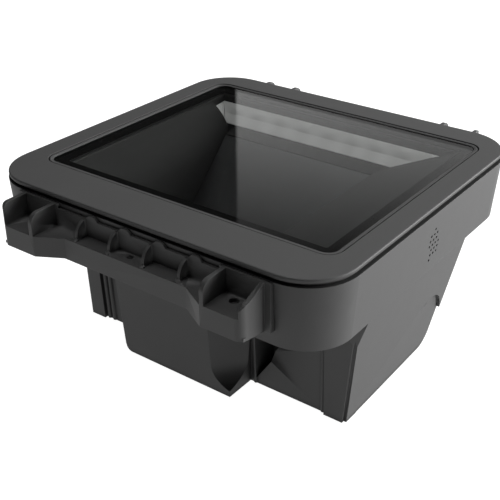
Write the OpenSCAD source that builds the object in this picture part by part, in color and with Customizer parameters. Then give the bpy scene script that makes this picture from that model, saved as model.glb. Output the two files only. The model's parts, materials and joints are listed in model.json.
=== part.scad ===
// In-counter flatbed barcode scanner of the area-imaging type.
// Millimetres, +Z up, origin at the bottom centre of the outline box.
// The front, with the first bracket, looks along -Y; the speaker holes are on +X.

/* [Whole scanner] */
// Height from the flat underside to the top of the bezel
total_h = 72.5; // [72.5:0.5:76]
// Width of the bezel plate, along X
bezel_w = 158.2; // [156:0.2:158.8]
// Depth of the bezel plate, along Y
bezel_d = 151.5; // [150:0.1:151.6]
// Corner radius of the bezel plate
bezel_r = 20; // [16:0.5:22]

/* [Window] */
// Width of the opening in the bezel
opening_w = 139.4; // [138:0.2:140]
// Depth of the opening in the bezel
opening_d = 118.6; // [118:0.2:119]
// How far the window sits behind the middle
window_y = 3.65; // [3.4:0.05:3.9]
// Thickness of the glass
glass_t = 2.2; // [1.8:0.1:2.4]
// Width of the black border seen through the glass
border_w = 4.9; // [4.6:0.1:5.1]

/* [Upper housing] */
// Height of the skirt
skirt_h = 25.5; // [25:0.1:26]
// How far the skirt stands out past the bezel at each side
skirt_out = 0.5; // [0.3:0.1:0.6]
// How much each skirt wall leans in towards the bottom
skirt_lean = 1.7; // [1.4:0.1:1.9]
// Wall thickness of the skirt
skirt_wall = 2.2; // [2:0.1:2.4]

/* [Lower housing] */
// Wall thickness of the lower housing
bucket_wall = 2; // [1.8:0.1:2.2]
// Left side at the bottom
bucket_left = -55.4; // [-56:0.1:-55]
// Right side at the bottom
bucket_right = 73.2; // [73:0.1:73.6]
// Front face at the bottom
bucket_front = -46.8; // [-47.2:0.1:-46.6]
// Rear wall at the bottom, before its rounding
bucket_rear = 17; // [16.8:0.1:17.4]

/* [Mounting brackets] */
// Outer width of a bracket
bracket_w = 114; // [112:0.5:115]
// How far a bracket reaches from the middle
bracket_reach = 89.4; // [89:0.1:90]
// Spacing of the two fixing holes in one bracket
fixing_x = 95; // [93:0.5:97]
// Distance of the fixing holes from the middle
fixing_y = 80.8; // [80.6:0.1:82]
// Radius of the fixing holes
fixing_r = 1.8; // [1.6:0.1:2.1]

/* [Hidden] */
$fn = 64;

eps = 0.01;
charcoal = [0.2, 0.2, 0.21];
dark_grey = [0.13, 0.13, 0.14];
ink_black = [0.02, 0.02, 0.02];
board_green = [0.05, 0.24, 0.13];
steel = [0.62, 0.63, 0.65];

// Levels
bezel_t = 3;
bezel_z = total_h - bezel_t;        // underside of the bezel, top of the skirt rim
lip_t = 2.2;                        // bezel edge that shows above the shadow gap
skirt_z = bezel_z - skirt_h;        // underside of the skirt
shelf_t = 2;                        // floor of the skirt round the lower housing
pocket_z = total_h - 5.2;           // seat of the window cartridge in the bezel
pocket_t = 1.6;
glass_z = total_h - 2.8;            // underside of the glass
gasket_t = 0.8;

// Plan half sizes
bezel_x = bezel_w / 2;
bezel_y = bezel_d / 2;
skirt_x = bezel_x + skirt_out;
skirt_y = bezel_y + skirt_out - 0.35;
skirt_r = bezel_r + skirt_out;
open_x = opening_w / 2;
open_y = opening_d / 2;
frame_gap = 0.5;
frame_rim = 1.4;
clear = 0.2;

// Half depth of the skirt's outer face at height z
function skirt_face(z) = skirt_y - skirt_lean * (bezel_z - z) / skirt_h;

// ---------- shared shapes ----------

// Box with round vertical corners and walls that lean in by `lean` at the bottom
module leaning_box(x, y, r, z0, z1, lean) {
    h = z1 - z0;
    translate([0, 0, z0]) {
        rotate([90, 0, 0]) linear_extrude(2 * (y - r), center = true)
            polygon([[-x + lean, 0], [x - lean, 0], [x, h], [-x, h]]);
        rotate([90, 0, 90]) linear_extrude(2 * (x - r), center = true)
            polygon([[-y + lean, 0], [y - lean, 0], [y, h], [-y, h]]);
        for (sx = [-1, 1], sy = [-1, 1])
            translate([sx * (x - r), sy * (y - r), 0]) cylinder(h = h, r1 = r - lean, r2 = r);
    }
}

module rounded_box(x, y, r, z0, z1) {
    leaning_box(x, y, r, z0, z1, 0);
}

// Half of a plate's section, from its middle to an edge with a round top corner
module edge_section(w, h, f) {
    square([w, h - f]);
    square([w - f, h]);
    translate([w - f, h - f]) circle(f);
}

// Plate with round vertical corners and a rounded top edge of radius f
module soft_plate(x, y, r, z0, z1, f) {
    h = z1 - z0;
    translate([0, 0, z0]) {
        rotate([90, 0, 0]) linear_extrude(2 * (y - r), center = true)
            for (s = [0, 1]) mirror([s, 0]) edge_section(x, h, f);
        rotate([90, 0, 90]) linear_extrude(2 * (x - r), center = true)
            for (s = [0, 1]) mirror([s, 0]) edge_section(y, h, f);
        for (sx = [-1, 1], sy = [-1, 1])
            translate([sx * (x - r), sy * (y - r), 0]) rotate_extrude() edge_section(r, h, f);
    }
}

// Shape drawn in the Y-Z plane and carried along X from x0 to x1
module along_x(x0, x1) {
    translate([x0, 0, 0]) rotate([90, 0, 90]) linear_extrude(x1 - x0) children();
}

// Shape drawn in the X-Z plane and carried along Y from y0 to y1
module along_y(y0, y1) {
    translate([0, y1, 0]) rotate([90, 0, 0]) linear_extrude(y1 - y0) children();
}

module box(lo, hi) {
    translate(lo) cube(hi - lo);
}

// Rod from p to q
module rod(p, q, r) {
    d = q - p;
    translate(p) rotate([0, acos(d[2] / norm(d)), atan2(d[1], d[0])]) cylinder(h = norm(d), r = r);
}

// Insulated wire along a list of corners
module wire(corners, r) {
    for (i = [0:len(corners) - 2]) rod(corners[i], corners[i + 1], r);
    for (i = [1:len(corners) - 2]) translate(corners[i]) sphere(r * 1.2, $fn = 24);
}

// Pan-head screw standing on z = 0, shank up, head below
module screw(shank_r, shank_l, head_r, head_t) {
    cylinder(h = shank_l, r = shank_r, $fn = 32);
    difference() {
        translate([0, 0, -head_t]) cylinder(h = head_t + eps, r = head_r, $fn = 32);
        for (a = [0, 90]) rotate(a) translate([-head_r * 0.6, -0.35, -head_t - 1])
            cube([head_r * 1.2, 0.7, 1 + head_t / 2]);
    }
}

// Points of an arc in a plane
function arc(cx, cy, r, a0, a1, n) =
    [for (i = [0:n]) [cx + r * cos(a0 + (a1 - a0) * i / n), cy + r * sin(a0 + (a1 - a0) * i / n)]];

// ---------- bezel and window ----------

tab_places = [[1, 30, 0], [1, -30, 0], [-1, 30, 0], [-1, -30, 0], [1, 30, 1], [1, -30, 1],
    [-1, 30, 1], [-1, -30, 1]];

module top_cover() {
    seat_gap = 1.4;
    color(charcoal) difference() {
        union() {
            soft_plate(bezel_x, bezel_y, bezel_r, total_h - lip_t, total_h, 1);
            rounded_box(bezel_x - seat_gap, bezel_y - seat_gap, bezel_r - seat_gap,
                bezel_z, total_h - 1.5);
            translate([0, window_y, 0]) rounded_box(open_x + pocket_t, open_y + pocket_t, 8,
                pocket_z - pocket_t, bezel_z + 1);
            for (t = tab_places) cover_tab(t);
        }
        translate([0, window_y, 0]) {
            rounded_box(open_x, open_y, 6.4, pocket_z, total_h + 1);
            rounded_box(open_x - 6.1, open_y - 6.1, 2, pocket_z - 5, total_h);
        }
    }
}

// Locating tab that slides down inside the skirt
module cover_tab(t) {
    reach = t[2] == 0 ? skirt_x : skirt_y;
    rotate(t[2] * 90) translate([t[0] * (reach - 5.3), t[1], 0])
        translate([-0.75, -6, bezel_z - 10]) cube([1.5, 12, 10.4]);
}

module cover_seal() {
    color(ink_black) difference() {
        rounded_box(skirt_x - 2.6, skirt_y - 2.6, skirt_r - 2.6, bezel_z - 1, bezel_z);
        rounded_box(skirt_x - 3.9, skirt_y - 3.9, skirt_r - 3.9, bezel_z - 2, bezel_z + 1);
    }
}

frame_x = open_x - frame_gap;
frame_y = open_y - frame_gap;

module window_frame() {
    color(charcoal) translate([0, window_y, 0]) difference() {
        soft_plate(frame_x, frame_y, 6, pocket_z, total_h - 0.2, 0.4);
        rounded_box(frame_x - frame_rim, frame_y - frame_rim, 4.6,
            glass_z - gasket_t, total_h + 1);
        rounded_box(frame_x - 5, frame_y - 5, 2, pocket_z - 1, total_h);
    }
}

glass_x = frame_x - frame_rim - clear;
glass_y = frame_y - frame_rim - clear;

module window_gasket() {
    color(ink_black) translate([0, window_y, 0]) difference() {
        rounded_box(glass_x, glass_y, 4.4, glass_z - gasket_t, glass_z);
        rounded_box(glass_x - border_w, glass_y - border_w, 0.8,
            glass_z - gasket_t - 1, glass_z + 1);
    }
}

module window_glass() {
    color([0.6, 0.66, 0.66, 0.3]) translate([0, window_y, 0])
        soft_plate(glass_x, glass_y, 4.4, glass_z, glass_z + glass_t, 0.3);
}

// ---------- upper housing ----------

// First and last hole in each row of the speaker pattern, counted from the front
grille_rows = [[1, 1], [0, 2], [0, 2], [0, 3], [1, 3], [1, 3], [1, 1]];
grille_pitch = [2.4, 2.15];
grille_slant = 0.3;
grille_top = total_h - 10.3;
speaker_x = 75;
speaker_y = 1.7;
speaker_z = grille_top - 3 * grille_pitch[1];

button_z = 56;
button_r = 4;

bracket_screw_x = [-48, -16, 16, 48];
bracket_screw_z = 55;
chassis_posts = [[-45, -63], [45, -63], [-40.8, 68.4], [40.8, 68.4]];
// Place of each screw ear, the way it faces and its reach back to the lower housing
ear_places = [[-62, -30, 180, 9], [-62, 18, 180, 9], [-20, 47.5, 90, 13], [45, 47.5, 90, 13],
    [-38, -57, 270, 9.5], [50, -57, 270, 9.5]];

// Plan of the opening that the lower housing continues
module mouth_plan(inset) {
    translate([bucket_left + inset, bucket_front + inset])
        square([bucket_right - bucket_left - 2 * inset, 35.2 - bucket_front - inset]);
    translate([-22 + inset, -60.6 + inset]) square([41 - 2 * inset, 30]);
}

module upper_housing() {
    color(charcoal) difference() {
        union() {
            difference() {
                leaning_box(skirt_x, skirt_y, skirt_r, skirt_z, bezel_z, skirt_lean);
                leaning_box(skirt_x - skirt_wall, skirt_y - skirt_wall, skirt_r - skirt_wall,
                    skirt_z + shelf_t, bezel_z + 0.001, skirt_lean);
            }
            seal_ledge();
            speaker_ring();
            for (p = chassis_posts) translate([p[0], p[1], skirt_z]) cylinder(h = 20, r = 3.4);
            for (e = ear_places) translate([e[0], e[1], skirt_z]) cylinder(h = 10, r = 3.4);
            button_guide();
            for (s = [-1, 1]) box([-71, s * 8 - 1.5, skirt_z], [-69.8, s * 8 + 1.5, 51]);
        }
        translate([0, 0, skirt_z - 1]) linear_extrude(shelf_t + 2) mouth_plan(2.4);
        for (p = chassis_posts) translate([p[0], p[1], skirt_z + 8]) cylinder(h = 13, r = 1.25);
        for (e = ear_places) translate([e[0], e[1], skirt_z - 1]) cylinder(h = 9, r = 1.25);
        for (x = bracket_screw_x, s = [-1, 1])
            rod([x, s * 60, bracket_screw_z], [x, s * 80, bracket_screw_z], 1.6);
        speaker_holes();
        rod([-90, 0, button_z], [-60, 0, button_z], button_r + 0.25);
    }
}

module seal_ledge() {
    difference() {
        rounded_box(skirt_x - 1, skirt_y - 1, skirt_r - 1, bezel_z - 2.6, bezel_z - 1);
        rounded_box(skirt_x - 4.2, skirt_y - 4.2, skirt_r - 4.2, bezel_z - 4, bezel_z);
    }
}

module speaker_ring() {
    difference() {
        rod([speaker_x - 2, speaker_y, speaker_z], [speaker_x + 2.2, speaker_y, speaker_z], 10.4);
        rod([speaker_x - 5, speaker_y, speaker_z], [speaker_x + 5, speaker_y, speaker_z], 9.15);
    }
}

module speaker_holes() {
    for (row = [0:6], col = [grille_rows[row][0]:grille_rows[row][1]])
        translate([70, speaker_y + grille_pitch[0] * (col - 1) - grille_slant * row,
            grille_top - grille_pitch[1] * row])
            rotate([0, 90, 0]) cylinder(h = 12, r = 0.55, $fn = 20);
}

module button_guide() {
    difference() {
        rod([-77.5, 0, button_z], [-74.6, 0, button_z], button_r + 1.6);
        rod([-80, 0, button_z], [-70, 0, button_z], button_r + 0.25);
    }
}

// ---------- lower housing ----------

rear_slope = 0.418;                  // run back per unit of rise
side_slope = 0.1;                    // run out per unit of rise, right side
left_slope = 0.027;
front_slope = tan(3);
rear_round = 9;
block_left = -24.2;
block_front = -60.5;
block_right = 29.4;
cut_start = [21, -61];
cut_end = [31, -47.4];
foot_t = 2.5;
scoop_r = 9;
recess_depth = 12;
relief_turn = 0.95;                  // degrees

// Side section of the main tub, drawn in Y-Z
module tub_side(inset) {
    top = skirt_z;
    z0 = inset;
    slope = 90 - atan(rear_slope);
    back = bucket_rear - inset * 1.1;
    run = rear_round * tan(slope / 2);
    polygon(concat(
        [[bucket_front + inset - front_slope * top, top],
         [bucket_front + inset - front_slope * z0, z0]],
        arc(back + rear_slope * z0 - run, z0 + rear_round, rear_round, -90, slope - 90, 10),
        [[back + rear_slope * top, top]]));
}

// Front section of the main tub, drawn in X-Z
module tub_front(inset) {
    top = skirt_z;
    polygon([[bucket_left + inset, inset], [bucket_right - inset, inset],
        [bucket_right - inset + side_slope * top, top],
        [bucket_left + inset - left_slope * top, top]]);
}

module tub(inset) {
    intersection() {
        along_x(-80, 80) tub_side(inset);
        along_y(-80, 60) tub_front(inset);
    }
}

// Block that carries the camera, in front of the tub
module camera_block(inset) {
    top = skirt_z;
    intersection() {
        along_x(-40, 40) polygon([
            [block_front + inset, inset], [-30, inset], [-30, top],
            [block_front + inset - front_slope * top, top]]);
        along_y(-80, -30) difference() {
            polygon([[block_left + inset, inset], [block_right - inset, inset],
                [block_right - inset + 1.5, top], [block_left + inset - front_slope * top, top]]);
            corner_cut(block_left + inset, inset, 3);
        }
    }
}

// Takes a square corner off, leaving an arc of radius r
module corner_cut(x, z, r) {
    difference() {
        translate([x - 1, z - 1]) square(r + 1);
        translate([x + r, z + r]) circle(r);
    }
}

// Scooped cut on the block's right side: a slanting wall that sweeps out to a square foot
module block_scoop() {
    d = cut_end - cut_start;
    translate([cut_start[0], cut_start[1], 0]) rotate([0, 0, atan2(d[1], d[0])])
        rotate([90, 0, 90]) translate([0, 0, -8]) linear_extrude(norm(d) + 8) difference() {
            translate([-30, foot_t]) square([30, 60]);
            difference() {
                translate([-scoop_r, foot_t - eps]) square([scoop_r + 1, scoop_r]);
                translate([-scoop_r, foot_t + scoop_r]) circle(scoop_r);
            }
        }
}

// Room inside the block, which stops short of the scooped corner
module camera_room() {
    intersection() {
        translate([0, 0, eps]) camera_block(bucket_wall);
        box([-40, -80, 0], [cut_start[0] - bucket_wall, 0, skirt_z + 1]);
    }
}

// Outline of the cable recess in the front face, drawn in X-Z
module recess_outline(grow) {
    offset(delta = grow) polygon([[32.6, 3], [39.5, 13.4], [41.6, 19.3], [46, 26], [61, 28],
        [61, 42], [32.6, 42]]);
}

module lower_housing() {
    top = skirt_z;
    color(charcoal) difference() {
        union() {
            difference() {
                union() {
                    tub(0);
                    difference() {
                        camera_block(0);
                        block_scoop();
                    }
                }
                difference() {
                    union() {
                        translate([0, 0, eps]) tub(bucket_wall);
                        camera_room();
                    }
                    recess_shell();
                }
            }
            front_details();
            for (e = ear_places) screw_ear(e);
            board_posts();
            connector_posts();
            // solid corner behind the bevel
            box([68, bucket_front - 1, 31], [75, -41.5, top]);
        }
        cable_recess();
        side_relief();
        corner_bevel();
        // shadow line under the skirt where the right wall runs flush with it
        along_y(-80, 60) polygon([[bucket_right + side_slope * (top - 0.5) - 0.5, top - 0.5], [90, top - 0.5],
            [90, top + 1], [bucket_right + side_slope * (top - 0.5) - 0.5, top + 1]]);
        for (e = ear_places) translate([e[0], e[1], top - 10]) cylinder(h = 12, r = 1.6);
        for (p = board_holes) rod([60, p[0], p[1]], [70.6, p[0], p[1]], 1.1);
        for (p = connector_hole) translate([p[0], p[1], 21]) cylinder(h = 10, r = 1.1);
        box([-150, -150, top], [150, 150, top + 20]);
    }
}

module recess_shell() {
    along_y(bucket_front - 5, bucket_front + recess_depth) recess_outline(1.6);
}

module cable_recess() {
    along_y(bucket_front - 8, bucket_front + recess_depth - 1.6) recess_outline(0);
    // openings for the two sockets
    box([jack_lo[0] - clear, -40, jack_lo[2] - clear], [jack_hi[0] + clear, -30, jack_hi[2] + clear]);
    rod([power_axis[0], -40, power_axis[1]], [power_axis[0], -30, power_axis[1]], 3.6);
}

// Left box, ridges, rib beside the recess and the corner block
module front_details() {
    top = skirt_z;
    front = bucket_front;
    along_x(bucket_left - 0.6, -48.5) polygon([[front - 1.5, 0], [front + 1.6, 0],
        [front + 1.6, top], [front - 1.5 - front_slope * top, top]]);
    for (x = [-46.6, -43.8]) translate([x, 0, 0]) leaning_rib(front, 1, top);
    for (x = [32, 63]) translate([x, 0, 0]) leaning_rib(front, 0.9, top);
    difference() {
        along_x(64, bucket_right + side_slope * top) polygon([[front - 1.3, 0], [front + 1.6, 0],
            [front + 1.6, top], [front - 1.3 - front_slope * top, top]]);
        along_y(-90, 0) polygon([[bucket_right - 1.2, -1], [bucket_right - 1.2 + side_slope * top, top],
            [90, top], [90, -1]]);
    }
}

// Takes the top of the front right corner off with one slanting plane
module corner_bevel() {
    translate([bucket_right + 3.6, bucket_front - 2.8, skirt_z - 9]) rotate([0, 66.8, -41.7])
        translate([-20, -20, 0]) cube([40, 40, 20]);
}

// Upright half-round rib that follows the leaning front face
module leaning_rib(y, r, top) {
    hull() {
        translate([0, y, 0.4]) cylinder(h = 0.1, r = r, $fn = 24);
        translate([0, y - front_slope * top, top - 0.1]) cylinder(h = 0.1, r = r, $fn = 24);
    }
}

// Ear under the skirt that takes a screw up into it
module screw_ear(e) {
    translate([e[0], e[1], skirt_z - 3]) {
        cylinder(h = 3, r = 4.4);
        rotate(e[2]) translate([-e[3], -4.4, 0]) cube([e[3], 8.8, 3]);
    }
}

// Sunk panel on the right side that gets deeper towards the rear
module side_relief() {
    translate([bucket_right, bucket_front, 0]) rotate([0, atan(side_slope), 0])
        rotate([0, 0, relief_turn]) translate([0, -bucket_front, 0]) along_x(0, 5)
            polygon(concat([[-40, -2], [-40, 3.6], [4, 24.8]],
                arc(12, 15, 11, 115, 10, 10), [[26, 8], [26, -2]]));
}

board_x = 64;
board_holes = [[-36, 10], [-36, 38], [8, 10], [8, 38]];
connector_hole = [[36, -17], [57.5, -17]];

module board_posts() {
    intersection() {
        for (p = board_holes) rod([board_x + 1.6, p[0], p[1]], [80, p[0], p[1]], 3);
        tub(0.2);
    }
}

module connector_posts() {
    for (p = connector_hole) translate([p[0], p[1], 1]) cylinder(h = 26, r = 3);
}

// ---------- brackets ----------

floor_z = total_h - 12;
base_z = total_h - 20.4;
plate_y = -skirt_y - 1.1;
mid_front = -83.5;
sheet = 1.6;
rib_x = [-24.5, -8.2, 8.2, 24.5];
wall_top = total_h - 3.3;

// Side outline of a pocket wall with a round front corner, drawn in Y-Z
module pocket_wall(top, drop) {
    r = 4;
    front = -bracket_reach;
    polygon(concat([[plate_y, base_z], [plate_y, top]],
        arc(front + r, top - drop - r, r, 90, 180, 8),
        [[front, base_z]]));
}

// One bracket: `drop` lowers the front of its right end wall
module bracket(drop) {
    half = bracket_w / 2;
    difference() {
        union() {
            // back plate that follows the leaning skirt wall, with a scalloped top
            difference() {
                along_x(-half - 2.5, half + 2.5) polygon([
                    [-skirt_face(50.2) - 0.05, 50.2], [plate_y, 50.2], [plate_y, wall_top],
                    [-skirt_face(wall_top) - 0.05, wall_top]]);
                scallops();
            }
            // pocket and middle floors
            along_z_plan(floor_z - sheet, floor_z) bracket_plan(0);
            // front skirt of the bracket
            difference() {
                along_z_plan(base_z, floor_z) bracket_plan(0);
                along_z_plan(base_z - 1, floor_z - sheet) bracket_plan(sheet);
            }
            // pocket walls
            for (s = [-1, 1]) along_x(s * 40.5 - 0.85, s * 40.5 + 0.85) pocket_wall(wall_top, 0);
            intersection() {
                union() {
                    along_x(-half, -half + 1.7) pocket_wall(wall_top, 0);
                    along_x(half - 1.7, half) pocket_wall(wall_top - 0.2, drop);
                }
                along_z_plan(base_z, wall_top + 1) bracket_plan(0);
            }
            for (x = rib_x) bracket_rib(x);
            // bosses for the screws that hold the bracket on
            for (x = bracket_screw_x)
                rod([x, plate_y + eps, bracket_screw_z], [x, plate_y - 6, bracket_screw_z], 2.9);
            // gusset down to the skirt at each end
            for (s = [-1, 1]) along_x(s * (half - 0.85) - 0.85, s * (half - 0.85) + 0.85)
                polygon([[plate_y, base_z + 1], [-bracket_reach + 1, base_z + 1],
                    [-bracket_reach + 1, base_z], [plate_y, 50.2]]);
        }
        for (s = [-1, 1]) translate([s * fixing_x / 2, -fixing_y, floor_z - 3])
            cylinder(h = 4, r = fixing_r);
        translate([0, -79.4, floor_z - 3]) cylinder(h = 4, r = 1.3);
        for (x = bracket_screw_x)
            rod([x, -70, bracket_screw_z], [x, plate_y - 5, bracket_screw_z], 1.3);
    }
}

module along_z_plan(z0, z1) {
    translate([0, 0, z0]) linear_extrude(z1 - z0) children();
}

// Plan of the bracket's floor: two deep ends joined by a shallower middle
module bracket_plan(inset) {
    half = bracket_w / 2 - inset;
    front = -bracket_reach + inset;
    mid = mid_front + inset;
    r = 3;
    polygon(concat([[-half, plate_y + 0.1]],
        arc(-half + r, front + r, r, 180, 270, 6),
        [[-39.6 + inset * 0.4, front], [-29 + inset, mid], [29 - inset, mid], [39.6 - inset * 0.4, front]],
        arc(half - r, front + r, r, 270, 360, 6),
        [[half, plate_y + 0.1]]));
}

// Low stretches between the humps of the back plate
module scallops() {
    low = total_h - 5;
    difference() {
        box([-38.5, plate_y - 2, low], [38.5, -70, total_h]);
        for (x = rib_x) translate([x + 3.6, 0, low - 1.6]) rotate([-90, 0, 0])
            translate([0, 0, -90]) cylinder(h = 30, r = 3.4);
    }
}

// Quarter-round rib with a small round foot
module bracket_rib(x) {
    foot = 5;
    along_x(x - 0.65, x + 0.65) polygon(concat([[plate_y + 0.1, floor_z - 0.2]],
        [for (i = [0:8]) [plate_y - foot * sin(90 - i * 11.25), floor_z + 6.8 * sin(i * 11.25)]],
        [[plate_y + 0.1, floor_z + 6.8]]));
    translate([x, plate_y - foot, floor_z - 0.2]) cylinder(h = 0.9, r = 1.1, $fn = 24);
}

module front_bracket() {
    color(charcoal) bracket(3.4);
}

module rear_bracket() {
    color(charcoal) rotate(180) bracket(0);
}

// Screws driven from inside the skirt into the bracket bosses
module bracket_screws() {
    color(steel) for (x = bracket_screw_x, s = [0, 180]) rotate(s)
        translate([x, -skirt_face(bracket_screw_z) + skirt_wall + 0.3, bracket_screw_z])
            rotate([90, 0, 0]) screw(1.2, 7.5, 2.6, 1.6);
}

module housing_screws() {
    color(steel) for (e = ear_places) translate([e[0], e[1], skirt_z - 3.05]) screw(1.2, 10, 2.8, 1.8);
}

// ---------- optics ----------

rim_z = total_h - 4.1;               // top of the funnel's rim, just under the glass
flange_z = total_h - 8.5;
rim_x = 61.5;
rim_front = -46.8;
rim_rear = 54.8;
throat_left = -50;
throat_right = 30;
shelf_z = total_h - 16.5;            // inner edge of the right slope
mirror_top = [40.5, total_h - 17.6];
mirror_low = 8.5;
mirror_t = 1.5;
hood_t = 1.5;
flare_r = 22;

// Left flare: a wall that stands upright below and curves out to the rim, drawn in X-Z
module left_flare() {
    top = rim_z;
    knee = top - 20;
    outer = arc(throat_left - flare_r, knee, flare_r, 0, 62, 14);
    inner = arc(throat_left - flare_r, knee, flare_r - hood_t, 62, 0, 14);
    polygon(concat([[throat_left, 6]], outer, inner, [[throat_left - hood_t, 6]]));
}

module optics_chassis() {
    color(dark_grey) difference() {
        union() {
            // rim that stands up inside the window opening, and the flange round it
            difference() {
                union() {
                    translate([0, (rim_front + rim_rear) / 2, 0])
                        rounded_box(rim_x + hood_t, (rim_rear - rim_front) / 2 + hood_t, 2, flange_z, rim_z);
                    box([-65, -50.5, flange_z], [65, 59, flange_z + 1.4]);
                    for (p = chassis_posts) chassis_ear(p);
                }
                box([-rim_x, rim_front, flange_z - 1], [rim_x, rim_rear, rim_z + 1]);
            }
            difference() {
                union() {
                    along_y(rim_front - hood_t, 45.2) intersection() {
                        left_flare();
                        translate([-rim_x - hood_t, 0]) square([40, rim_z]);
                    }
                    along_y(rim_front - hood_t, rim_rear) right_slope();
                }
                behind_mirror();
                box([-80, -60, 0], [80, -44.2, 46.2]);
                box([20, -60, 0], [80, -34.4, 46.2]);
            }
            front_wall();
            rear_ledge();
            side_cheeks();
        }
        for (p = chassis_posts) translate([p[0], p[1], flange_z - 1]) cylinder(h = 4, r = 1.6);
        for (i = [0:7]) led_window(i);
    }
}

// Space behind the mirror, and all of it under the rear of the window
module behind_mirror() {
    along_x(-80, 80) polygon([[mirror_top[0] - mirror_top[1] + 2, 0], [mirror_top[0] + 4, mirror_top[1] + 2],
        [100, mirror_top[1] + 2], [100, 0]]);
}

module chassis_ear(p) {
    y1 = p[1] < 0 ? rim_front : rim_rear;
    hull() {
        translate([p[0], p[1], flange_z]) cylinder(h = 1.4, r = 3.6, $fn = 32);
        translate([p[0], y1, flange_z]) cylinder(h = 1.4, r = 5, $fn = 32);
    }
}

module right_slope() {
    polygon([[rim_x + hood_t, rim_z], [rim_x, rim_z], [throat_right, shelf_z],
        [throat_right, 6], [throat_right + hood_t, 6], [throat_right + hood_t, shelf_z - 1.2],
        [rim_x + hood_t, rim_z - 2]]);
}

// Front wall, hung from the rim, leaning in towards the camera opening
module front_wall() {
    intersection() {
        along_x(-rim_x, rim_x) polygon([[rim_front, flange_z + 1], [-43.5, 46.3],
            [-43.5 - hood_t, 46.3], [rim_front - hood_t, flange_z + 1]]);
        along_y(-60, 0) union() {
            polygon([[-rim_x, rim_z], [rim_x, rim_z], [throat_right, shelf_z], [throat_right, 6],
                [throat_left, 6], [throat_left, 48]]);
        }
    }
}

// Dark ledge between the reflector and the mirror
module rear_ledge() {
    along_x(throat_left, 33.5) polygon([[47.8, total_h - 15.6], [mirror_top[0] + 0.5, mirror_top[1] + 0.4],
        [mirror_top[0] + 1.7, mirror_top[1] - 0.7], [47.8, total_h - 17]]);
}

// Upright walls beside the mirror
module side_cheeks() {
    along_y(-34.4, -6) polygon([[throat_left - hood_t, 6], [throat_right + hood_t, 6],
        [throat_right + hood_t, 7.5], [throat_left - hood_t, 7.5]]);
}

led_x = [for (i = [0:7]) -42 + 12 * i];
led_z = 53;

module led_window(i) {
    box([led_x[i] - 2.2, -52, led_z - 2.2], [led_x[i] + 2.2, -40, led_z + 2.2]);
}

module chassis_screws() {
    color(steel) for (p = chassis_posts) translate([p[0], p[1], flange_z + 1.45])
        mirror([0, 0, 1]) screw(1.2, 10, 2.6, 1.6);
}

// White trough along the rear: a tall leaning face, a lower face and a closed left end
module light_reflector() {
    face = [[54, total_h - 6.8], [50.6, total_h - 10.9], [46.9, total_h - 14.4]];
    back = [for (p = face) [p[0] + 0.7, p[1] - 0.6]];
    color([0.85, 0.86, 0.86]) difference() {
        union() {
            along_x(-61, 58) polygon(concat(face, [for (i = [2:-1:0]) back[i]]));
            along_x(-61.5, -60.5) polygon([[54.2, total_h - 6.6], [45.4, total_h - 7.6],
                [46.6, total_h - 14.8], [50.8, total_h - 11.6], [54.7, total_h - 7.4]]);
        }
        // room for the right slope of the hood
        along_y(30, 70) polygon([[rim_x + 3, rim_z + 0.9], [rim_x, rim_z + 0.1], [throat_right, shelf_z + 0.1],
            [throat_right, 0], [rim_x + 3, 0]]);
    }
}

module led_board() {
    color(board_green) box([-48, -49.8, 48], [48, -48.4, 60]);
}

module leds() {
    color([0.95, 0.93, 0.8]) for (i = [0:7]) box([led_x[i] - 1.5, -48.4, led_z - 1.5],
        [led_x[i] + 1.5, -47.2, led_z + 1.5]);
}

// Glass sheet at forty-five degrees, drawn in Y-Z
module tilted_sheet(lift, t) {
    a = [mirror_top[0] - (mirror_top[1] - mirror_low), mirror_low];
    n = [sin(45), -cos(45)];
    polygon([a + n * lift, mirror_top + n * lift, mirror_top + n * (lift + t), a + n * (lift + t)]);
}

module fold_mirror() {
    color([0.7, 0.72, 0.74]) along_x(throat_left + 0.2, throat_right - 0.2) tilted_sheet(0, mirror_t);
}

module mirror_carrier() {
    color(dark_grey) difference() {
        along_x(throat_left + 0.2, throat_right - 0.2) tilted_sheet(mirror_t, 1);
        translate([-10, 0, 0]) rotate([90, 0, 0]) translate([0, 30, -60]) cylinder(h = 120, r = 9);
    }
}

camera_x = 3;
camera_z = 28;

module camera_bracket() {
    color(dark_grey) difference() {
        union() {
            box([throat_left + 0.5, -44.9, 8], [throat_right - 0.5, -43, 43]);
            rod([camera_x, -55.6, camera_z], [camera_x, -43.2, camera_z], 8);
            for (s = [-1, 1]) rod([camera_x + s * 10, -55.6, camera_z],
                [camera_x + s * 10, -43.2, camera_z], 2.4);
        }
        rod([camera_x, -60, camera_z], [camera_x, -40, camera_z], 6.3);
        for (s = [-1, 1]) rod([camera_x + s * 10, -60, camera_z],
            [camera_x + s * 10, -49, camera_z], 0.9);
    }
}

module lens_barrel() {
    color(ink_black) difference() {
        union() {
            rod([camera_x, -53, camera_z], [camera_x, -41, camera_z], 6.25);
            rod([camera_x, -42.9, camera_z], [camera_x, -40, camera_z], 7.2);
        }
        rod([camera_x, -54, camera_z], [camera_x, -38, camera_z], 4.2);
    }
}

module lens_glass() {
    color([0.35, 0.4, 0.5, 0.5]) for (y = [-51, -42.6])
        rod([camera_x, y, camera_z], [camera_x, y + 1.8, camera_z], 4.15);
}

module sensor_board() {
    color(board_green) {
        difference() {
            box([camera_x - 14, -56.9, 15], [camera_x + 14, -55.7, 41]);
            for (s = [-1, 1]) rod([camera_x + s * 10, -60, camera_z],
                [camera_x + s * 10, -50, camera_z], 1);
        }
        box([camera_x - 3.5, -55.7, camera_z - 3.5], [camera_x + 3.5, -54.8, camera_z + 3.5]);
    }
}

module camera_screws() {
    color(steel) for (s = [-1, 1]) translate([camera_x + s * 10, -56.95, camera_z])
        rotate([-90, 0, 0]) screw(0.85, 6, 1.7, 1.1);
}

// ---------- electronics ----------

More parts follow.
